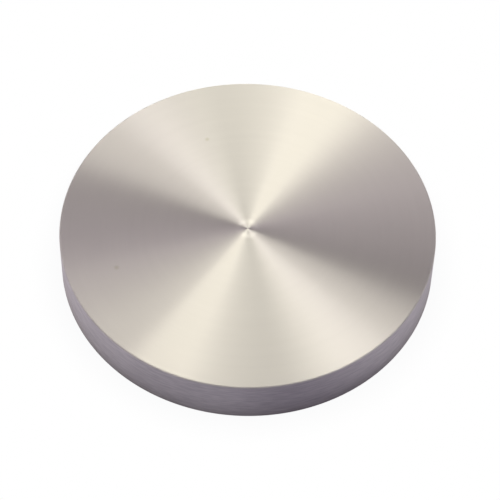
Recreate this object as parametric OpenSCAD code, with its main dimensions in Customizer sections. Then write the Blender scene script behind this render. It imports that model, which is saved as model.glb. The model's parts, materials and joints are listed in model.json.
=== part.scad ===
// Undrilled blind flange: one solid disc, faced on both sides in a lathe, with its two
// outer corners rounded and a small tool mark at the centre of each face.
// Z is the axis of the disc. The origin is the centre of the gasket face, which is the
// lower face, and the disc stands up from it along +Z. Lengths are in millimetres.

/* [Disc] */
// Outside diameter
disc_d = 127; // [60:0.5:300]
// Thickness, from the gasket face to the outer face
disc_t = 17.5; // [8:0.1:40]

/* [Finish] */
// Radius of the rounded corner where the rim meets each face
corner_r = 0.5; // [0.2:0.1:2]
// Diameter of the tool mark at the centre of each face
mark_d = 1.2; // [0.6:0.1:4]
// Depth of that tool mark
mark_depth = 0.1; // [0.05:0.01:0.3]

/* [Hidden] */
$fn = 180;
disc_r = disc_d / 2;
// Radius of the ball whose cap, mark_d wide and mark_depth deep, is the tool mark.
mark_ball_r = (pow(mark_d / 2, 2) + pow(mark_depth, 2)) / (2 * mark_depth);
// Height of that ball's centre beyond the face that it marks.
mark_ball_lift = mark_ball_r - mark_depth;
steel = [0.80, 0.77, 0.72];

// Half of the disc's section: x is the distance from the axis, and y the height.
module blank_section() {
    square([disc_r - corner_r, disc_t]);
    translate([0, corner_r])
        square([disc_r, disc_t - 2 * corner_r]);
    for (y = [corner_r, disc_t - corner_r])
        translate([disc_r - corner_r, y])
            circle(corner_r);
}

// The ball that sinks a tool mark into one face, with its centre off that face.
module mark_ball(height) {
    translate([0, 0, height])
        sphere(mark_ball_r);
}

// The whole flange: nothing is bolted, pressed or screwed to it.
module flange_disc() {
    color(steel)
        difference() {
            rotate_extrude()
                blank_section();
            mark_ball(disc_t + mark_ball_lift);
            mark_ball(-mark_ball_lift);
        }
}

flange_disc();
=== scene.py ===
"""Looks of an undrilled blind flange: one solid steel disc, turned all over in a lathe.

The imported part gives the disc's radius, thickness and rounded corners. Its frame is kept: Z is
the axis of the disc, the gasket face is the lower one, at Z = 0, and lengths are in metres.
Angles round the disc are in degrees from +X towards +Y, and the camera stands on the -Y side.
"""

import json
import math

import bmesh
import bpy
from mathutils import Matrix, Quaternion, Vector


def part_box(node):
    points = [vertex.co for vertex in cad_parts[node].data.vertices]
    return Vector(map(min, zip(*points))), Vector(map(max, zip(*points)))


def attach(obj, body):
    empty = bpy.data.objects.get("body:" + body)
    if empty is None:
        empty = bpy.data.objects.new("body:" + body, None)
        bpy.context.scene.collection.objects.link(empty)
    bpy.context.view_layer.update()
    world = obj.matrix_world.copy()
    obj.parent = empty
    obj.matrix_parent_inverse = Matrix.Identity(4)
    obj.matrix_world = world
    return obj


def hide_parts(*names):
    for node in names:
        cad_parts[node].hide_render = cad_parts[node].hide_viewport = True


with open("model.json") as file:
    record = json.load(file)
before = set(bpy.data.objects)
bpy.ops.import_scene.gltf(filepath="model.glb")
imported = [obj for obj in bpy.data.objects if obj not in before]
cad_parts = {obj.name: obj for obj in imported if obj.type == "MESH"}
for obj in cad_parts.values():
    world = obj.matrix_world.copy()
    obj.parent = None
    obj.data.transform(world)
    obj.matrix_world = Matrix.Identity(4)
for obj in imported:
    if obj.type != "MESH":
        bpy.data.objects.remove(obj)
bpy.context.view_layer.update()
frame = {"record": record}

# ---------------------------------------------------------------- sizes

MM = 0.001
disc_low, disc_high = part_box("flange_disc")
RADIUS = (disc_high.x - disc_low.x) / 2
THICK = disc_high.z - disc_low.z
MOUNTS = {mount["name"]: mount for mount in frame["record"]["mounts"]}
CORNER = (THICK - MOUNTS["rim"]["dims"]["length_mm"] * MM) / 2

# The tool mark that a facing cut leaves at the centre of each face. The part has the same one.
MARK_RADIUS = 0.6 * MM
MARK_DEPTH = 0.1 * MM

# Two small pits on the outer face, which the part leaves out: distance from the centre as a share
# of the disc's radius, angle in degrees, and radius and depth in metres.
PITS = (
    (0.640, 111.3, 0.40 * MM, 0.015 * MM),
    (0.736, 201.7, 0.45 * MM, 0.015 * MM),
)

# ---------------------------------------------------------------- mesh of the disc

# Points round the disc, and steps of the profile on each rounded corner, each tool mark and half
# of the rim.
SEGMENTS = 384
CORNER_STEPS = 8
MARK_STEPS = 6
HALF_RIM_STEPS = 4
# Gap between the rings of points on a face.
FACE_STEP = 2.5 * MM
# A ring of points this close to each curve's end keeps the flat beside it evenly shaded.
SUPPORT = 0.06 * MM
# Round each pit the outer face is refined once for each of these reaches, in pit radii.
PIT_REACHES = (4.0, 2.6, 1.7)


def upper_profile():
    """Points (radius, height) from the middle of the outer face to half way down the rim."""
    points = []
    for i in range(MARK_STEPS + 1):
        share = i / MARK_STEPS
        points.append((MARK_RADIUS * share, THICK - MARK_DEPTH * (1 - share**2)))
    points.append((MARK_RADIUS + SUPPORT, THICK))
    flat_end = RADIUS - CORNER
    rings = int((flat_end - 2 * SUPPORT) / FACE_STEP)
    for i in range(1, rings + 1):
        points.append((i * FACE_STEP, THICK))
    points.append((flat_end - SUPPORT, THICK))
    for i in range(CORNER_STEPS + 1):
        turn = math.pi / 2 * i / CORNER_STEPS
        points.append((flat_end + CORNER * math.sin(turn), THICK - CORNER + CORNER * math.cos(turn)))
    points.append((RADIUS, THICK - CORNER - SUPPORT))
    rim_half = THICK / 2 - CORNER - SUPPORT
    for i in range(1, HALF_RIM_STEPS + 1):
        points.append((RADIUS, THICK - CORNER - SUPPORT - rim_half * i / HALF_RIM_STEPS))
    return points


def full_profile():
    """The whole half-section, from the middle of the outer face to that of the gasket face."""
    upper = upper_profile()
    lower = [(radius, THICK - height) for radius, height in reversed(upper[:-1])]
    return upper + lower


def turn_on_lathe(bm, profile):
    """Turns the profile about Z. The first and last points lie on the axis."""
    rings = []
    for radius, height in profile:
        if radius == 0:
            rings.append([bm.verts.new((0, 0, height))])
            continue
        ring = []
        for k in range(SEGMENTS):
            angle = 2 * math.pi * k / SEGMENTS
            ring.append(bm.verts.new((radius * math.cos(angle), radius * math.sin(angle), height)))
        rings.append(ring)
    for inner, outer in zip(rings, rings[1:]):
        for k in range(SEGMENTS):
            after = (k + 1) % SEGMENTS
            if len(inner) == 1:
                bm.faces.new((inner[0], outer[k], outer[after]))
            elif len(outer) == 1:
                bm.faces.new((inner[k], outer[0], inner[after]))
            else:
                bm.faces.new((inner[k], outer[k], outer[after], inner[after]))


def pit_centre(share, angle):
    """The middle of a pit's mouth."""
    turn = math.radians(angle)
    return Vector((share * RADIUS * math.cos(turn), share * RADIUS * math.sin(turn), THICK))


def sink_pit(bm, share, angle, radius, depth):
    """Refines the outer face round one pit, then presses the pit in."""
    centre = pit_centre(share, angle)
    for reach in PIT_REACHES:
        near = set()
        for face in bm.faces:
            if face.calc_center_median().z < THICK - CORNER / 2:
                continue
            if any((v.co - centre).length < reach * radius for v in face.verts):
                near.update(face.edges)
            elif (face.calc_center_median() - centre).length < reach * radius:
                near.update(face.edges)
        bmesh.ops.subdivide_edges(bm, edges=list(near), cuts=1, use_grid_fill=True)
    for vert in bm.verts:
        gap = (vert.co - centre).length / radius
        if gap < 1:
            vert.co.z -= depth * (1 - gap**2) ** 2


def build_disc():
    """The whole disc as one closed mesh."""
    bm = bmesh.new()
    turn_on_lathe(bm, full_profile())
    for pit in PITS:
        sink_pit(bm, *pit)
    many_sided = [face for face in bm.faces if len(face.verts) > 4]
    bmesh.ops.triangulate(bm, faces=many_sided)
    bmesh.ops.recalc_face_normals(bm, faces=bm.faces)
    for face in bm.faces:
        face.smooth = True
    mesh = bpy.data.meshes.new("flange_disc_turned")
    bm.to_mesh(mesh)
    bm.free()
    disc = bpy.data.objects.new("flange_disc_turned", mesh)
    bpy.context.scene.collection.objects.link(disc)
    return disc


# ---------------------------------------------------------------- node helpers


def add_node(tree, kind, inputs=None, **settings):
    """Adds a node. inputs maps a socket's name or number to a value or to a socket that feeds it."""
    node = tree.nodes.new(kind)
    for name, value in settings.items():
        setattr(node, name, value)
    for key, value in (inputs or {}).items():
        if isinstance(value, bpy.types.NodeSocket):
            tree.links.new(value, node.inputs[key])
        else:
            node.inputs[key].default_value = value
    return node


def maths(tree, operation, *values):
    """The result of a Math node on up to three values or sockets."""
    return add_node(tree, "ShaderNodeMath", dict(enumerate(values)), operation=operation).outputs[0]


def vector_maths(tree, operation, *values):
    """The node of a vector operation on up to two vectors or sockets."""
    return add_node(tree, "ShaderNodeVectorMath", dict(enumerate(values)), operation=operation)


# ---------------------------------------------------------------- turned steel

STEEL = (0.81, 0.78, 0.74)

# The faces are finely turned and have a tight sheen. The rim is coarser and has a broader one.
# Anisotropy draws the sheen out across the tool marks.
FACE_ROUGHNESS = 0.38
FACE_ANISOTROPY = 0.78
RIM_ROUGHNESS = 0.65
RIM_ANISOTROPY = 0.80
# The rim's shader draws its sheen out along the marks, so it is given a quarter of a turn.
QUARTER_TURN = 0.25
# The look changes from the faces' to the rim's over this share of the rounded corner's width.
CORNER_BLEND = 0.9

# What the cut left on the metal. Spacing is the distance across one mark, wander is how much the
# marks change on the way round the disc, and detail is how many finer steps their noise has.
MARK_SPACING = 0.35 * MM
MARK_WANDER = 1.6
MARK_HEIGHT = 0.0012 * MM
MARK_ROUGHNESS = 0.030
MARK_DETAIL = 2.0
# Wider bands where the cut ran a little smoother or rougher.
BAND_SPACING = 2.6 * MM
BAND_WANDER = 0.8
BAND_ROUGHNESS = 0.012
BAND_COLOUR = 0.045
BAND_DETAIL = 2.0
# The cut is smoother on a narrow ring close to the centre, where the tool slowed down.
SLOW_RING_RADIUS = 3.0 * MM
SLOW_RING_WIDTH = 0.8 * MM
SLOW_RING_ROUGHNESS = -0.06
# The rim also has short streaks, where the coarser cut caught the metal.
STREAK_SPACING = 0.8 * MM
STREAK_WANDER = 12.0
STREAK_COLOUR = 0.35
STREAK_DETAIL = 1.0
# How strong the finer steps of all of this noise are.
NOISE_ROUGHNESS = 0.6
# A faint stain lies in and round each pit. Its reach is a multiple of the pit's radius.
STAINED_STEEL = (0.70, 0.67, 0.58, 1.0)
STAIN_REACH = 3.0


def direction_of_marks(tree, place):
    """The direction of the tool marks at each point: square to the axis and to the radius."""
    cross = vector_maths(tree, "CROSS_PRODUCT", (0, 0, 1), place).outputs[0]
    world = add_node(
        tree,
        "ShaderNodeVectorTransform",
        {0: cross},
        vector_type="VECTOR",
        convert_from="OBJECT",
        convert_to="WORLD",
    )
    return vector_maths(tree, "NORMALIZE", world.outputs[0]).outputs[0]


def share_of_rim(tree, radius):
    """1 on the rim and 0 on the faces, with the change spread over the rounded corner."""
    flat_end = RADIUS - CORNER
    spread = {"Value": radius, "From Min": flat_end, "From Max": flat_end + CORNER_BLEND * CORNER}
    return add_node(tree, "ShaderNodeMapRange", spread).outputs[0]


def from_face_to_rim(tree, rim, face_value, rim_value):
    """One value on the faces and another on the rim. rim is the share of rim at each point."""
    mix = {"Value": rim, "To Min": face_value, "To Max": rim_value}
    return add_node(tree, "ShaderNodeMapRange", mix).outputs[0]


def lines_round_axis(tree, flat, across, spacing, wander, detail):
    """Noise from -0.5 to 0.5 that changes fast across the tool marks and slowly along them."""
    heading = vector_maths(tree, "NORMALIZE", flat).outputs[0]
    around_axis = vector_maths(tree, "MULTIPLY", heading, (wander, wander, 0)).outputs[0]
    steps = maths(tree, "DIVIDE", across, spacing)
    along_profile = add_node(tree, "ShaderNodeCombineXYZ", {"Z": steps}).outputs[0]
    where = vector_maths(tree, "ADD", around_axis, along_profile).outputs[0]
    grain = {"Vector": where, "Scale": 1.0, "Detail": detail, "Roughness": NOISE_ROUGHNESS}
    noise = add_node(tree, "ShaderNodeTexNoise", grain).outputs[0]
    return maths(tree, "SUBTRACT", noise, 0.5)


def bell(tree, value, centre, width):
    """1 where the value is at the centre, falling to 0 over about twice the width."""
    offset = maths(tree, "DIVIDE", maths(tree, "SUBTRACT", value, centre), width)
    square = maths(tree, "MULTIPLY", offset, offset)
    return maths(tree, "EXPONENT", maths(tree, "MULTIPLY", square, -1.0))


def share_of_stain(tree, place):
    """1 in the middle of each pit, fading to 0 where its stain ends."""
    total = 0.0
    for share, angle, radius, _ in PITS:
        gap = vector_maths(tree, "DISTANCE", place, pit_centre(share, angle)).outputs["Value"]
        spot = {"Value": gap, "From Min": STAIN_REACH * radius, "From Max": 0.0}
        fade = add_node(tree, "ShaderNodeMapRange", spot, interpolation_type="SMOOTHSTEP").outputs[0]
        total = maths(tree, "ADD", fade, total)
    return total


def roughness_of_cut(tree, rim, radius, marks, bands):
    """How rough the metal is at each point."""
    slow_ring = bell(tree, radius, SLOW_RING_RADIUS, SLOW_RING_WIDTH)
    roughness = from_face_to_rim(tree, rim, FACE_ROUGHNESS, RIM_ROUGHNESS)
    roughness = maths(tree, "MULTIPLY_ADD", marks, MARK_ROUGHNESS, roughness)
    roughness = maths(tree, "MULTIPLY_ADD", bands, BAND_ROUGHNESS, roughness)
    return maths(tree, "MULTIPLY_ADD", slow_ring, SLOW_RING_ROUGHNESS, roughness)


def colour_of_metal(tree, rim, place, bands, streaks):
    """The metal's colour at each point, with its bands, streaks and stains."""
    streak_strength = from_face_to_rim(tree, rim, 0.0, STREAK_COLOUR)
    brightness = maths(tree, "MULTIPLY_ADD", bands, BAND_COLOUR, 1.0)
    brightness = maths(tree, "MULTIPLY_ADD", streaks, streak_strength, brightness)
    clean = add_node(tree, "ShaderNodeVectorMath", {0: STEEL, "Scale": brightness}, operation="SCALE")
    tones = {0: share_of_stain(tree, place), 6: clean.outputs[0], 7: STAINED_STEEL}
    return add_node(tree, "ShaderNodeMix", tones, data_type="RGBA").outputs[2]


def turned_steel():
    """Satin steel with fine tool marks that run round the axis, on the faces and on the rim."""
    material = bpy.data.materials.new("turned_steel")
    material.use_nodes = True
    tree = material.node_tree
    tree.nodes.clear()
    place = add_node(tree, "ShaderNodeTexCoord").outputs["Object"]
    height = add_node(tree, "ShaderNodeSeparateXYZ", {0: place}).outputs["Z"]
    flat = vector_maths(tree, "MULTIPLY", place, (1, 1, 0)).outputs[0]
    radius = vector_maths(tree, "LENGTH", flat).outputs["Value"]
    rim = share_of_rim(tree, radius)
    # Distance along the profile: it grows outwards on the outer face and downwards on the rim.
    across = maths(tree, "SUBTRACT", radius, height)
    marks = lines_round_axis(tree, flat, across, MARK_SPACING, MARK_WANDER, MARK_DETAIL)
    bands = lines_round_axis(tree, flat, across, BAND_SPACING, BAND_WANDER, BAND_DETAIL)
    streaks = lines_round_axis(tree, flat, across, STREAK_SPACING, STREAK_WANDER, STREAK_DETAIL)

    colour = colour_of_metal(tree, rim, place, bands, streaks)
    bump = add_node(tree, "ShaderNodeBump", {"Distance": MARK_HEIGHT, "Height": marks})
    cut = {
        "Roughness": roughness_of_cut(tree, rim, radius, marks, bands),
        "Tangent": direction_of_marks(tree, place),
        "Normal": bump.outputs[0],
    }
    face_look = {"Color": colour, "Anisotropy": FACE_ANISOTROPY, **cut}
    face_sheen = add_node(tree, "ShaderNodeBsdfAnisotropic", face_look, distribution="BECKMANN")
    rim_look = {
        "Base Color": colour,
        "Metallic": 1.0,
        "Anisotropic": RIM_ANISOTROPY,
        "Anisotropic Rotation": QUARTER_TURN,
        **cut,
    }
    rim_sheen = add_node(tree, "ShaderNodeBsdfPrincipled", rim_look)
    sheens = {0: rim, 1: face_sheen.outputs[0], 2: rim_sheen.outputs[0]}
    mix = add_node(tree, "ShaderNodeMixShader", sheens)
    add_node(tree, "ShaderNodeOutputMaterial", {"Surface": mix.outputs[0]})
    return material


# ---------------------------------------------------------------- floor and surroundings

FLOOR_HALF = 4.0
WHITE = (1.0, 1.0, 1.0, 1.0)
WORLD_TINT = (0.140, 0.125, 0.145, 1.0)

# What the camera sees of the floor: white, with a faint shade where the disc stands on it.
SHADE_REACH = 0.012
SHADE_TINT = (0.92, 0.92, 0.925, 1.0)
# What the disc mirrors of it glows in a mauve grey with painted light: painted light beyond both
# sides of the disc and painted shade to the right of its middle. Each stop is a place, -1 at the
# left side of the disc and 1 at the right side, and how much painted light the floor has there.
PAINTED_SHADE_ON_FLOOR = Vector((0.26, 0.24, 0.35))
PAINTED_LIGHT_ON_FLOOR = Vector((0.70, 0.67, 0.82))
PAINTED_LIGHT_STOPS = ((-1.0, 1.0), (-0.6, 0.45), (-0.2, 0.75), (0.4, 0.0), (0.75, 0.15), (1.0, 1.0))
# How far from the disc's foot the mirrored floor has painted shade, darker towards the foot.
PAINTED_FOOT_SHADE_REACH = 0.026


def painted_floor_reflection(tree):
    """The floor as the disc mirrors it: a glowing surface with painted light and painted shade."""
    place = add_node(tree, "ShaderNodeTexCoord").outputs["Object"]
    side = add_node(tree, "ShaderNodeSeparateXYZ", {0: place}).outputs["X"]
    width_of_disc = {"Value": side, "From Min": -RADIUS, "From Max": RADIUS}
    across = add_node(tree, "ShaderNodeMapRange", width_of_disc).outputs[0]
    painted_light_ramp = add_node(tree, "ShaderNodeValToRGB", {0: across})
    # A new ramp has a stop at each end. The first is kept, and the others are made here.
    ramp = painted_light_ramp.color_ramp.elements
    ramp.remove(ramp[1])
    # Each stop paints light or shade onto the floor that the disc mirrors.
    for number, (stop, painted_light_share) in enumerate(PAINTED_LIGHT_STOPS):
        element = ramp.new((stop + 1) / 2) if number else ramp[0]
        element.color = (*PAINTED_SHADE_ON_FLOOR.lerp(PAINTED_LIGHT_ON_FLOOR, painted_light_share), 1.0)
    openness = add_node(tree, "ShaderNodeAmbientOcclusion", {"Distance": PAINTED_FOOT_SHADE_REACH}).outputs["AO"]
    # A point at the foot of a wall sees half of the sky, and the floor is painted dark there as shade.
    strength = add_node(tree, "ShaderNodeMapRange", {"Value": openness, "From Min": 0.5}).outputs[0]
    return add_node(tree, "ShaderNodeEmission", {"Color": painted_light_ramp.outputs[0], "Strength": strength})


def seen_floor(tree):
    """The floor as the camera sees it."""
    openness = add_node(tree, "ShaderNodeAmbientOcclusion", {"Distance": SHADE_REACH}).outputs["AO"]
    shade = add_node(tree, "ShaderNodeMix", {0: openness, 6: SHADE_TINT, 7: WHITE}, data_type="RGBA")
    return add_node(tree, "ShaderNodeEmission", {"Color": shade.outputs[2]})


def build_floor():
    """A flat floor. The camera sees it as white, and the disc mirrors a mauve grey with painted light
    and shade.
    """
    mesh = bpy.data.meshes.new("floor")
    corners = [(-1, -1), (1, -1), (1, 1), (-1, 1)]
    mesh.from_pydata([(FLOOR_HALF * x, FLOOR_HALF * y, 0) for x, y in corners], [], [(0, 1, 2, 3)])
    floor = bpy.data.objects.new("floor", mesh)
    bpy.context.scene.collection.objects.link(floor)
    material = bpy.data.materials.new("pale_floor")
    material.use_nodes = True
    tree = material.node_tree
    tree.nodes.clear()
    by_camera = add_node(tree, "ShaderNodeLightPath").outputs["Is Camera Ray"]
    shaders = {0: by_camera, 1: painted_floor_reflection(tree).outputs[0], 2: seen_floor(tree).outputs[0]}
    mix = add_node(tree, "ShaderNodeMixShader", shaders)
    add_node(tree, "ShaderNodeOutputMaterial", {"Surface": mix.outputs[0]})
    mesh.materials.append(material)


def build_world():
    """Plain surroundings: the camera sees them as white, and the disc mirrors a dim grey."""
    world = bpy.data.worlds.new("studio")
    bpy.context.scene.world = world
    world.use_nodes = True
    tree = world.node_tree
    tree.nodes.clear()
    seen = add_node(tree, "ShaderNodeLightPath").outputs["Is Camera Ray"]
    dim = add_node(tree, "ShaderNodeBackground", {"Color": WORLD_TINT})
    white = add_node(tree, "ShaderNodeBackground", {"Color": WHITE})
    mix = add_node(tree, "ShaderNodeMixShader", {0: seen, 1: dim.outputs[0], 2: white.outputs[0]})
    add_node(tree, "ShaderNodeOutputWorld", {"Surface": mix.outputs[0]})


# ---------------------------------------------------------------- lights


def around(azimuth, elevation, distance):
    """A point seen from the middle of the outer face. Azimuth 0 is the camera's side, 90 is +X."""
    turn, rise = math.radians(azimuth), math.radians(elevation)
    flat = distance * math.cos(rise)
    return Vector((flat * math.sin(turn), -flat * math.cos(turn), THICK + distance * math.sin(rise)))


def softbox(name, azimuth, elevation, distance, width, height, roll, radiance):
    """A rectangular lamp that faces the disc. radiance is how bright its surface is, as RGB."""
    peak = max(radiance)
    lamp = bpy.data.lights.new(name, "AREA")
    lamp.shape = "RECTANGLE"
    lamp.size = width
    lamp.size_y = height
    lamp.color = [value / peak for value in radiance]
    # A lamp's power is its radiance times pi times its area.
    lamp.energy = peak * math.pi * width * height
    box = bpy.data.objects.new(name, lamp)
    bpy.context.scene.collection.objects.link(box)
    box.location = around(azimuth, elevation, distance)
    back = box.location - Vector((0, 0, THICK))
    box.rotation_mode = "QUATERNION"
    level = back.to_track_quat("Z", "Y")
    box.rotation_quaternion = level @ Quaternion((0, 0, 1), math.radians(roll))
    box.visible_camera = False


def build_lights():
    """Three broad lamps round the disc and two narrow ones above it, for the bright rays on its face."""
    softbox("low_lamp_behind", 175, 23, 0.88, 0.45, 0.66, 0, (1.62, 1.64, 1.34))
    softbox("softbox_behind", 133, 67, 1.90, 0.50, 0.72, 29, (3.14, 3.04, 2.82))
    softbox("pale_wall_left", -128, 49, 2.00, 1.54, 1.62, -3, (0.78, 0.72, 0.73))
    softbox("strip_above_left", -133, 78, 0.35, 0.42, 0.11, 8, (1.45, 1.40, 1.25))
    softbox("strip_above_right", 87, 77, 0.60, 0.08, 0.55, 4, (1.45, 1.40, 1.45))


# ---------------------------------------------------------------- camera

# Angles in degrees, distance and aim in radii of the disc, lens and sensor in millimetres, and
# clipping distances in metres.
VIEW_ELEVATION = 53.9
VIEW_DISTANCE = 12.0
VIEW_ROLL = 1.32
AIM = (0.0141, -0.1411)
LENS = 162.6
SENSOR_WIDTH = 36.0
CLIP_START = 0.01
CLIP_END = 50.0


def build_camera():
    """A long lens above the front of the disc, aimed just in front of the centre of its face."""
    data = bpy.data.cameras.new("camera")
    data.lens = LENS
    data.sensor_width = SENSOR_WIDTH
    data.clip_start = CLIP_START
    data.clip_end = CLIP_END
    camera = bpy.data.objects.new("camera", data)
    bpy.context.scene.collection.objects.link(camera)
    camera.location = around(0, VIEW_ELEVATION, VIEW_DISTANCE * RADIUS)
    target = Vector((AIM[0] * RADIUS, AIM[1] * RADIUS, THICK))
    look = (target - camera.location).to_track_quat("-Z", "Y")
    camera.rotation_mode = "QUATERNION"
    camera.rotation_quaternion = look @ Quaternion((0, 0, 1), math.radians(VIEW_ROLL))
    bpy.context.scene.camera = camera


# ---------------------------------------------------------------- build

disc = build_disc()
disc.data.materials.append(turned_steel())
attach(disc, "root")
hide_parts("flange_disc")

build_floor()
build_world()
build_lights()
build_camera()
bpy.context.scene.view_settings.view_transform = "Standard"
